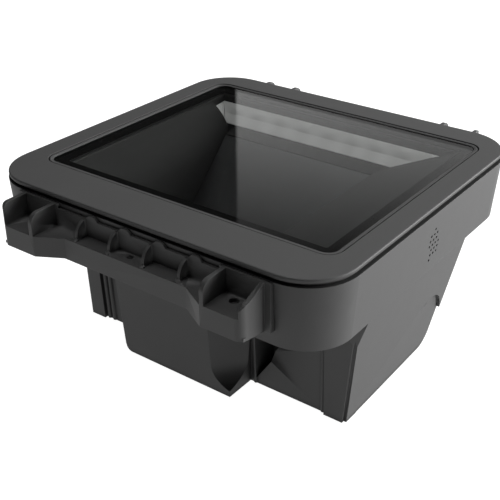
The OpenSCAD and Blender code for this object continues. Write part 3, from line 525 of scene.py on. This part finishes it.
FINISHES = {
    # The case is moulded with a fine spark finish, so it looks dry and even; its rounded edges
    # carry a painted highlight, and its joints and creases painted shade.
    "Spark-eroded ABS": lambda c: moulded("Spark-eroded ABS", c.housing, 0.55, 0.5, 0.012, painted_shade=0.8),
    # The brackets' edges carry a stronger painted highlight than the case's.
    "ABS bracket with painted edge highlights": lambda c: moulded("ABS bracket with painted edge highlights", c.housing, 0.5, 0.5, 0.012, edge_highlight=0.45),
    # The bezel is the face that is wiped all day: the same plastic, a touch smoother, with painted highlights on
    # its edges and painted shade in its joints.
    "Satin ABS bezel": lambda c: moulded("Satin ABS bezel", c.bezel, 0.58, 0.45, 0.007, cloud=0.03, shine=0.35,
                                         painted_shade=0.7),
    "Satin ABS frame": lambda c: moulded(
        "Satin ABS frame", c.bezel, 0.58, 0.45, 0.005, cloud=0.03, edge=0.1, shine=0.35),
    # The hood is coarse on purpose, so that it scatters stray light.
    "Coarse matt hood ABS": lambda c: moulded(
        "Coarse matt hood ABS", c.hood, 0.85, 0.9, 0.06, edge_highlight=0.05, shine=0.15),
    "Screen-printed black": lambda c: printed_border("Screen-printed black", c.border, sizes().border_dot),
    "Hard-coated float glass": lambda c: float_glass("Hard-coated float glass"),
    "White reflector moulding": lambda c: painted_white("White reflector moulding", c.reflector),
    "Front-silvered mirror": lambda c: silvered_glass("Front-silvered mirror"),
    "Zinc-plated steel": lambda c: metal("Zinc-plated steel", tone("#b9bcc0"), 0.34, 0.35),
    "Tinned steel sheet": lambda c: metal("Tinned steel sheet", tone("#c4c6c6"), 0.3, 0.25, (1.0, 6.0, 1.0)),
    "Gold-plated contact": lambda c: metal("Gold-plated contact", tone("#d9ab4e"), 0.24, 0.2),
    "Black anodised aluminium": lambda c: metal(
        "Black anodised aluminium", tone("#26272a"), 0.42, 0.2, (1.0, 8.0, 1.0)),
    "Solder-masked laminate": lambda c: laminate("Solder-masked laminate", c.board),
    "Epoxy chip moulding": lambda c: moulded("Epoxy chip moulding", tone("#18181a"), 0.55, 0.2, 0.01, edge=0.1),
    "Glass-filled nylon": lambda c: moulded("Glass-filled nylon", tone("#131314"), 0.48, 0.3, 0.01, edge=0.15),
    "Seal rubber": lambda c: rubber("Seal rubber", tone("#101011")),
    "Button rubber": lambda c: rubber("Button rubber", tone("#55565a"), 0.6),
    "Paper speaker cone": lambda c: rubber("Paper speaker cone", tone("#1b1b1c"), 0.85),
    "PVC cable sleeve": lambda c: rubber("PVC cable sleeve", tone("#1a1a1b"), 0.45),
    "Polyimide ribbon": lambda c: rubber("Polyimide ribbon", tone("#b07a2a"), 0.35),
    "Cast epoxy lens": lambda c: lens("Cast epoxy lens", tone("#f0e6b8")),
    "Coated lens glass": lambda c: lens("Coated lens glass", tone("#9aa6c8")),
}


def sizes():
    return bpy.context.scene.scanner_sizes


def finish(name):
    """One of the finishes above, made when it is first asked for."""
    return bpy.data.materials.get(name) or FINISHES[name](bpy.context.scene.scanner_colours)


# ---------- pieces ----------


class SCANNER_OT_bezel(bpy.types.Operator):
    """Bezel plate with its rounded rim, the pocket for the window and eight locating tabs"""
    bl_idname = "scanner.bezel"
    bl_label = "Bezel"

    def execute(self, context):
        size = sizes()
        low, high = reach("top_cover")
        frame_low, frame_high = reach("window_frame")
        top, edge, mouth = high[2], size.bezel_edge / MM, size.opening_edge / MM
        seat, under = frame_low[2], top - 3
        outer = (0, 0, high[0], high[1], 20)
        inner = (0, (frame_low[1] + frame_high[1]) / 2, frame_high[0] + 0.5,
                 (frame_high[1] - frame_low[1]) / 2 + 0.5, 6.4)
        section = [(-1.4, under), (-1.4, top - 2.2), (0, top - 2.2), (0, top), (-FAR, top), (-FAR, seat),
                   (-FAR - 6.1, seat), (-FAR - 6.1, seat - 1.6), (-FAR + 1.6, seat - 1.6), (-FAR + 1.6, under)]
        rounding = [0.2, 0.15, 1.5, edge, mouth, 0.2, 0.3, 0.3, 0.3, 0.4]
        plate = hoop("bezel_plate", section, rounding, outer, inner)
        tabs = [plate]
        for sx in (-1, 1):
            for sy in (-1, 1):
                for half, at in (((0.75, 6), (sx * (high[0] - 4.8), sy * 30)),
                                 ((6, 0.75), (sx * 30, sy * (high[1] - 5.15)))):
                    tabs.append(slab("tab", np.array([at[0] - half[0], at[1] - half[1], low[2]]),
                                     np.array([at[0] + half[0], at[1] + half[1], under + 0.3]), 0.5, 0.3))
        piece(joined("bezel", tabs), finish("Satin ABS bezel"), ["top_cover"])
        return {"FINISHED"}


class SCANNER_OT_window(bpy.types.Operator):
    """Window cartridge: the stepped frame, the black border under the glass and the glass"""
    bl_idname = "scanner.window"
    bl_label = "Window"

    def execute(self, context):
        size = sizes()
        low, high = reach("window_frame")
        border_low, border_high = reach("window_gasket")
        glass_low, glass_high = reach("window_glass")
        y, step = (low[1] + high[1]) / 2, size.frame_step / MM
        outer = (0, y, high[0], (high[1] - low[1]) / 2, 6)
        section = [(0, low[2]), (0, high[2]), (-0.68, high[2]), (-0.8, high[2] - step), (-1.4, high[2] - step),
                   (-1.4, border_low[2]), (-5, border_low[2]), (-5, low[2])]
        piece(hoop("window_rim", section, [0.2, 0.12, 0.05, 0.05, 0.08, 0.2, 0.2, 0.2], outer),
              finish("Satin ABS frame"), ["window_frame"])
        inner = (0, y, border_high[0], (border_high[1] - border_low[1]) / 2, 4.4)
        print_top = border_high[2] - 0.02
        section = [(0, border_low[2] + 0.02), (0, print_top), (-4.9, print_top), (-4.9, border_low[2] + 0.02)]
        piece(hoop("window_border", section, 0.08, inner, least=0.8), finish("Screen-printed black"),
              ["window_gasket"])
        pane = slab("window_pane", glass_low, glass_high, 4.4, size.glass_edge / MM)
        # The edge all round is blackened, so that no light runs through the glass sideways.
        normal = np.empty(len(pane.polygons) * 3)
        pane.polygons.foreach_get("normal", normal)
        edge = np.abs(normal.reshape(-1, 3)[:, 2]) < 0.9
        piece(pane, finish("Hard-coated float glass"), ["window_glass"], crisp=8.0)
        pane.materials.append(finish("Screen-printed black"))
        pane.polygons.foreach_set("material_index", edge.astype(np.int32))
        return {"FINISHED"}


class SCANNER_OT_case(bpy.types.Operator):
    """Upper and lower housing, and the rubber seal in the shadow gap between bezel and skirt"""
    bl_idname = "scanner.case"
    bl_label = "Case"

    def execute(self, context):
        for node in ("upper_housing", "lower_housing"):
            piece(moulded_copy(node), finish("Spark-eroded ABS"), [node], crisp=MOULDED_CRISP)
        low, high = reach("cover_seal")
        section = [(0, low[2]), (0, high[2]), (-1.3, high[2]), (-1.3, low[2])]
        piece(hoop("seal_ring", section, 0.35, (0, 0, high[0], high[1], 17.9)), finish("Seal rubber"),
              ["cover_seal"])
        return {"FINISHED"}


class SCANNER_OT_brackets(bpy.types.Operator):
    """Front and rear mounting brackets with their pockets, ribs and screw bosses"""
    bl_idname = "scanner.brackets"
    bl_label = "Brackets"

    def execute(self, context):
        for node in ("front_bracket", "rear_bracket"):
            piece(moulded_copy(node), finish("ABS bracket with painted edge highlights"), [node], crisp=MOULDED_CRISP)
        return {"FINISHED"}


class SCANNER_OT_hood(bpy.types.Operator):
    """Funnel under the glass, with its curved left wall and its slope on the right"""
    bl_idname = "scanner.hood"
    bl_label = "Hood"

    def execute(self, context):
        piece(moulded_copy("optics_chassis"), finish("Coarse matt hood ABS"), ["optics_chassis"],
              crisp=MOULDED_CRISP)
        dress(finish("Coarse matt hood ABS"), "camera_bracket")
        return {"FINISHED"}


class SCANNER_OT_reflector(bpy.types.Operator):
    """White reflector along the rear: a tall face and a shallow one, with slow swells along it"""
    bl_idname = "scanner.reflector"
    bl_label = "Reflector"

    def execute(self, context):
        low, high = reach("light_reflector")
        hood_high = reach("optics_chassis")[1]
        rim = hood_high[2]
        # Top edge, crease and bottom edge of the face, and its two ends at the top and the bottom.
        top, crease, foot = high[1:] - [0.7, 0.2], high[1:] - [4.1, 4.3], high[1:] - [7.8, 7.8]
        left_top, left_foot = low[0] + 0.6, low[0] + 5.8
        upper = top + np.linspace(0, 1, 7)[:, None] * (crease - top)
        face = np.concatenate([upper, foot[None]])
        section = soften(np.concatenate([face, (face + [0.7, -0.6])[::-1]]), 0.2)
        drop = (top[1] - section[:, 1]) / (top[1] - foot[1])
        start = left_top + drop * (left_foot - left_top)
        # The right end follows the slope of the hood: the trough is longer where it is higher.
        end = 61.2 - (rim - section[:, 1]) * 2.54
        u = np.linspace(0, 1, 161)[:, None]
        x = start + u * (end - start)
        height = np.clip((section[:, 1] - crease[1]) / (top[1] - crease[1]), 0, 1)
        swell = size_of_wave(x, height, sizes().reflector_wave / MM)
        grid = np.stack([x, section[:, 0] - swell, section[:, 1] + swell * 0.8 + 0 * x], -1)
        trough = surface("trough", grid, caps=True)
        # The left cheek is a triangle from the trough's end to a point nearer the front.
        apex = np.array([left_top, low[1], top[1] - 0.9])
        corners = np.array([[left_top, *top], apex, [left_foot, *foot]])
        cheek = corners[:, None] + np.array([[0, 0, 0], [-0.4, 0.5, -0.6]])[None]
        end_wall = surface("end_wall", cheek.transpose(1, 0, 2), wrap=(False, True), caps=True)
        piece(joined("reflector", [trough, end_wall]), finish("White reflector moulding"), ["light_reflector"])
        return {"FINISHED"}


def size_of_wave(x, height, depth):
    """Swell of the reflector's tall face: depth sin(pi h) cos(2 pi x / 13 mm), so that it
    fades out at the crease and at the top."""
    return depth * np.sin(np.pi * height)[None, :] * (0.5 + 0.5 * np.cos(2 * np.pi * x / 13))


class SCANNER_OT_optics(bpy.types.Operator):
    """Fold mirror and its carrier, the camera with its lens, and the row of lamps"""
    bl_idname = "scanner.optics"
    bl_label = "Optics"

    def execute(self, context):
        dress(finish("Front-silvered mirror"), "fold_mirror")
        dress(finish("Coarse matt hood ABS"), "mirror_carrier")
        low, high = reach("lens_barrel")
        at = ((low[0] + high[0]) / 2, 0, (low[2] + high[2]) / 2)
        rim = (high[2] - low[2]) / 2
        profile = soften([(6.25, low[1]), (6.25, -47.5), (5.9, -47.2), (5.9, -46), (6.25, -45.7), (6.25, -42.9),
                          (rim, -42.9), (rim, high[1]), (5.2, high[1]), (4.2, high[1] - 1.6), (4.2, low[1])], 0.12)
        piece(turned("lens_mount", profile, at, (0, 1, 0), hollow=True), finish("Black anodised aluminium"),
              ["lens_barrel"])
        rounds = []
        for y in (-51, -42.6):
            t = np.linspace(0, 1, 9)
            front = np.stack([4.1 * t, y + 0.45 * t ** 2], -1)
            back = np.stack([4.1 * t[::-1], y + 1.8 - 0.5 * t[::-1] ** 2], -1)
            rounds.append(turned("lens", np.concatenate([front, back]), at, (0, 1, 0), 48))
        piece(joined("lenses", rounds), finish("Coated lens glass"), ["lens_glass"])
        low, high = reach("leds")
        lamps = []
        for x in np.linspace(low[0] + 1.5, high[0] - 1.5, 8):
            near = np.array([x - 1.5, low[1], low[2]])
            far = np.array([x + 1.5, high[1], high[2]])
            lamps.append(slab("lamp", near, far, 0.3, 0.2))
        piece(joined("lamps", lamps), finish("Cast epoxy lens"), ["leds"])
        dress(finish("Solder-masked laminate"), "led_board", "sensor_board")
        return {"FINISHED"}


class SCANNER_OT_electronics(bpy.types.Operator):
    """Circuit boards, chips, shield and sockets, with the contact wires in the data socket"""
    bl_idname = "scanner.electronics"
    bl_label = "Electronics"

    def execute(self, context):
        dress(finish("Solder-masked laminate"), "main_board", "connector_board", "button_board")
        dress(finish("Epoxy chip moulding"), "board_chips")
        dress(finish("Tinned steel sheet"), "shield_can")
        dress(finish("Glass-filled nylon"), "interface_jack", "power_jack", "button_switch")
        low, high = reach("interface_jack")
        middle, floor = (low[0] + high[0]) / 2, low[2] + 1.5
        wires = [tube("contact", [(middle + 1.02 * (k - 3.5), low[1] + d, floor + h) for d, h in (
            (1.2, 0.3), (3, 0.4), (6, 2.2), (9, 4), (11.8, 4.6))], 0.17, 8, 6) for k in range(8)]
        piece(joined("jack_contacts", wires), finish("Gold-plated contact"), [], BODY_OF["interface_jack"])
        return {"FINISHED"}


class SCANNER_OT_speaker(bpy.types.Operator):
    """Speaker behind the holes in the right wall: basket, cone, magnet and gasket"""
    bl_idname = "scanner.speaker"
    bl_label = "Speaker"

    def execute(self, context):
        low, high = reach("speaker_cone")
        at = (low[0], (low[1] + high[1]) / 2, (low[2] + high[2]) / 2)
        r = np.linspace(0, 7.9, 60)
        # A dome in the middle, a straight cone, and a rolled edge that takes up the travel.
        d = np.where(r < 3, 0.3 + 0.35 * (1 - (r / 3) ** 2), 0.3 + (r - 3) * 0.2)
        d = np.where(r > 6.5, 0.95 + 0.45 * np.sin(np.pi * (r - 6.5) / 1.4), d)
        front, back = np.stack([r, d + 0.2], -1), np.stack([r, d], -1)
        piece(turned("speaker_diaphragm", np.concatenate([back, front[::-1]]), at, (1, 0, 0)),
              finish("Paper speaker cone"), ["speaker_cone"])
        dress(finish("Zinc-plated steel"), "speaker_frame", "speaker_magnet")
        dress(finish("Seal rubber"), "speaker_gasket")
        return {"FINISHED"}


class SCANNER_OT_button(bpy.types.Operator):
    """Function button on the left wall, with a shallow dish for the finger"""
    bl_idname = "scanner.button"
    bl_label = "Button"

    def execute(self, context):
        low, high = reach("function_button")
        radius, length = (high[1] - low[1]) / 2, high[0] - low[0]
        t = np.radians(np.linspace(0, 90, 7))
        rim = np.stack([radius - 0.6 + 0.6 * np.cos(t), length - 0.6 + 0.6 * np.sin(t)], -1)
        r = np.linspace(radius - 0.7, 0, 14)
        dish = np.stack([r, length - 0.3 * np.cos(np.pi / 2 * r / (radius - 0.7)) ** 2], -1)
        profile = np.concatenate([[(0, 0), (radius - 0.1, 0), (radius, 0.1), (radius, 1)], rim, dish])
        middle = (high[0], (low[1] + high[1]) / 2, (low[2] + high[2]) / 2)
        cap = turned("button_cap", profile, middle, (-1, 0, 0))
        piece(cap, finish("Button rubber"), ["function_button"])
        return {"FINISHED"}


class SCANNER_OT_fixings(bpy.types.Operator):
    """Screws, and the leads and ribbon between the boards"""
    bl_idname = "scanner.fixings"
    bl_label = "Screws and leads"

    def execute(self, context):
        dress(finish("Zinc-plated steel"), "bracket_screws", "housing_screws", "chassis_screws",
              "camera_screws", "board_screws")
        dress(finish("PVC cable sleeve"), "led_cable", "speaker_wires", "button_cable")
        dress(finish("Polyimide ribbon"), "camera_ribbon")
        return {"FINISHED"}


class SCANNER_OT_stage(bpy.types.Operator):
    """Pale floor, soft studio light and the camera"""
    bl_idname = "scanner.stage"
    bl_label = "Stage"

    def execute(self, context):
        scene = context.scene
        scene.view_settings.view_transform = "Standard"
        half = sizes().floor_size / MM / 2
        x, y = np.meshgrid(np.linspace(-half, half, 9), np.linspace(-half, half, 9), indexing="ij")
        flat = np.stack([x, y, np.zeros_like(x)], -1).transpose(1, 0, 2)
        mesh = surface("studio_floor", flat, wrap=(False, False))
        paper, tree, output, point = fresh("Matt backdrop paper")
        fibre = add(tree, "ShaderNodeTexNoise", {"Vector": point, "Scale": 8.0, "Detail": 2.0})
        pale = tuple(scene.scanner_colours.floor)
        body = blend(tree, fibre.outputs["Fac"], rgba(pale, 0.99), rgba(pale, 1.0))
        # Lit from below like a light table, but dim towards the object.
        ray = add(tree, "ShaderNodeLightPath")
        glow = add(tree, "ShaderNodeMapRange", {
            "Value": ray.outputs["Is Camera Ray"], "To Min": 0.6, "To Max": 1.0})
        shader = add(tree, "ShaderNodeBsdfPrincipled", {
            "Base Color": body, "Roughness": 0.9, "Specular IOR Level": 0.1,
            "Emission Color": (1.0, 1.0, 1.0, 1.0), "Emission Strength": glow.outputs["Result"]})
        tree.links.new(shader.outputs["BSDF"], output.inputs["Surface"])
        mesh.materials.append(paper)
        floor = bpy.data.objects.new("studio_floor", mesh)
        scene.collection.objects.link(floor)
        lamp("right_softbox", (0.95, 0.78, 0.32), (0.03, 0.0, 0.04), (1.0, 0.5), 33.0)
        lamp("top_softbox", (-0.1, 0.08, 1.5), (0.0, 0.0, 0.06), (1.4, 0.5), 9.0)
        rear = lamp("rear_softbox", (-0.2, 1.15, 1.0), (0.0, 0.0, 0.06), (1.2, 0.6), 12.0)
        rear.visible_glossy = rear.visible_transmission = False
        world_light(scene)
        camera = bpy.data.objects.new("camera", bpy.data.cameras.new("camera"))
        camera.data.lens = 66.96
        camera.data.sensor_width = 36
        camera.data.clip_start = 0.01
        camera.location = (0.2053, -0.28605, 0.2225)
        camera.rotation_euler = Vector((-0.5195, 0.7047, -0.4833)).to_track_quat("-Z", "Y").to_euler()
        scene.collection.objects.link(camera)
        scene.camera = camera
        return {"FINISHED"}


def lamp(name, place, target, size, watts):
    """A rectangular softbox at a place, turned to face a target."""
    light = bpy.data.lights.new(name, "AREA")
    light.shape = "RECTANGLE"
    light.size, light.size_y = size
    light.energy = watts
    thing = bpy.data.objects.new(name, light)
    thing.location = place
    thing.rotation_euler = (Vector(target) - Vector(place)).to_track_quat("-Z", "Y").to_euler()
    thing.visible_camera = False
    bpy.context.scene.collection.objects.link(thing)
    return thing


def world_light(scene):
    """Soft room light, with one tall white card behind the object. The card's left edge is
    sharp, and it fades out to its right and towards its top."""
    world = bpy.data.worlds.new("studio")
    world.use_nodes = True
    scene.world = world
    tree = world.node_tree
    tree.nodes.clear()
    way = add(tree, "ShaderNodeTexCoord").outputs["Generated"]
    side = add(tree, "ShaderNodeVectorMath", {0: way, 1: (0.794, 0.607, 0.0)}, operation="DOT_PRODUCT")
    parts = add(tree, "ShaderNodeSeparateXYZ", {"Vector": way})
    card = add(tree, "ShaderNodeMapRange", {
        "Value": side.outputs["Value"], "From Min": 0.0, "From Max": 0.004})
    fade = add(tree, "ShaderNodeMapRange", {
        "Value": parts.outputs["Z"], "From Min": 0.52, "From Max": 0.28, "To Min": 0.0, "To Max": 0.6},
        interpolation_type="SMOOTHSTEP")
    right = add(tree, "ShaderNodeVectorMath", {0: way, 1: (-0.34, 0.94, 0.0)}, operation="DOT_PRODUCT")
    width = add(tree, "ShaderNodeMapRange", {
        "Value": right.outputs["Value"], "From Min": 0.2, "From Max": 0.65})
    sheet = add(tree, "ShaderNodeMath", {0: card.outputs["Result"], 1: width.outputs["Result"]},
                operation="MULTIPLY")
    bright = add(tree, "ShaderNodeMath", {0: sheet.outputs["Value"], 1: fade.outputs["Result"]},
                 operation="MULTIPLY")
    room = add(tree, "ShaderNodeMath", {0: bright.outputs["Value"], 1: 0.012}, operation="ADD")
    # Seen directly, the room beyond the floor is as white as the floor.
    ray = add(tree, "ShaderNodeLightPath")
    total = add(tree, "ShaderNodeMath", {
        0: room.outputs["Value"], 1: ray.outputs["Is Camera Ray"]}, operation="MAXIMUM")
    back = add(tree, "ShaderNodeBackground", {
        "Color": (1.0, 1.0, 1.0, 1.0), "Strength": total.outputs["Value"]})
    tree.links.new(back.outputs["Background"], add(tree, "ShaderNodeOutputWorld").inputs["Surface"])


OPERATORS = (
    SCANNER_OT_stage, SCANNER_OT_bezel, SCANNER_OT_window, SCANNER_OT_case, SCANNER_OT_brackets,
    SCANNER_OT_hood, SCANNER_OT_reflector, SCANNER_OT_optics, SCANNER_OT_electronics,
    SCANNER_OT_speaker, SCANNER_OT_button, SCANNER_OT_fixings,
)


class SCANNER_PT_panel(bpy.types.Panel):
    bl_idname = "SCANNER_PT_panel"
    bl_label = "Counter scanner"
    bl_space_type = "VIEW_3D"
    bl_region_type = "UI"
    bl_category = "Scanner"

    def draw(self, context):
        layout = self.layout
        for group in (context.scene.scanner_sizes, context.scene.scanner_colours):
            for name in type(group).__annotations__:
                layout.prop(group, name)
        for operator in OPERATORS:
            layout.operator(operator.bl_idname)


CLASSES = (ScannerSizes, ScannerColours, *OPERATORS, SCANNER_PT_panel)


def register():
    for item in CLASSES:
        bpy.utils.register_class(item)
    bpy.types.Scene.scanner_sizes = bpy.props.PointerProperty(type=ScannerSizes)
    bpy.types.Scene.scanner_colours = bpy.props.PointerProperty(type=ScannerColours)


def unregister():
    del bpy.types.Scene.scanner_colours
    del bpy.types.Scene.scanner_sizes
    for item in reversed(CLASSES):
        bpy.utils.unregister_class(item)


def main():
    """Registers the add-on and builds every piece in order."""
    register()
    for operator in OPERATORS:
        group, name = operator.bl_idname.split(".")
        getattr(getattr(bpy.ops, group), name)()


if __name__ == "__main__":
    main()
